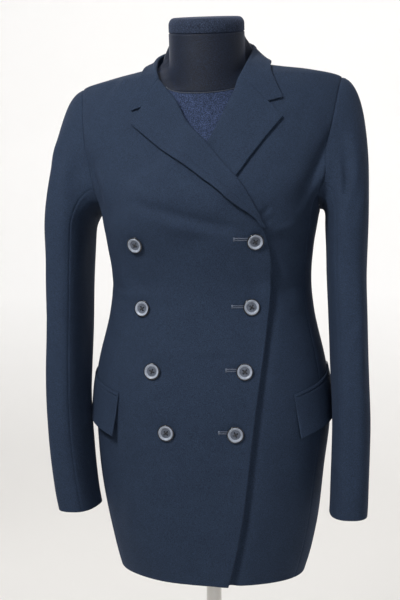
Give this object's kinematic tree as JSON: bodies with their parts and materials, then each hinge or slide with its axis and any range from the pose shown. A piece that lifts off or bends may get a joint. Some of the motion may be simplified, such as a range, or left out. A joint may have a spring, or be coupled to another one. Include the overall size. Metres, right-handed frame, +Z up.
{
  "type": "blazer on dress form",
  "caption": "Long double-breasted blazer with peaked lapels and slanted flap pockets, worn by a limbless dress form on a round-based chrome stand.",
  "frame": {"origin": "middle of the stand's underside, on the floor", "axes": "+Z up the pole, -Y towards the front of the blazer, +X towards the wearer's left"},
  "size_m": [0.4757, 0.3, 1.4999],
  "materials": {
    "wool": "matt woven wool crepe",
    "horn": "satin, like grey horn",
    "jersey": "matt knitted cover",
    "chrome": "polished"
  },
  "bodies": {
    "root": {"front_right": "wool", "front_left": "wool", "side_right": "wool", "side_left": "wool", "back_right": "wool", "back_left": "wool", "sleeve_top_right": "wool", "sleeve_top_left": "wool", "sleeve_under_right": "wool", "sleeve_under_left": "wool", "lapel_right": "wool", "lapel_left": "wool", "collar": "wool", "pocket_jet_right": "wool", "pocket_jet_left": "wool", "pocket_flap_right": "wool", "pocket_flap_left": "wool", "button_right_1": "horn", "button_right_2": "horn", "button_right_3": "horn", "button_right_4": "horn", "button_left_1": "horn", "button_left_2": "horn", "button_left_3": "horn", "button_left_4": "horn", "form_torso": "jersey", "form_neck_cap": "jersey", "stand_pole": "chrome", "stand_base": "chrome"}
  },
  "joints": []
}
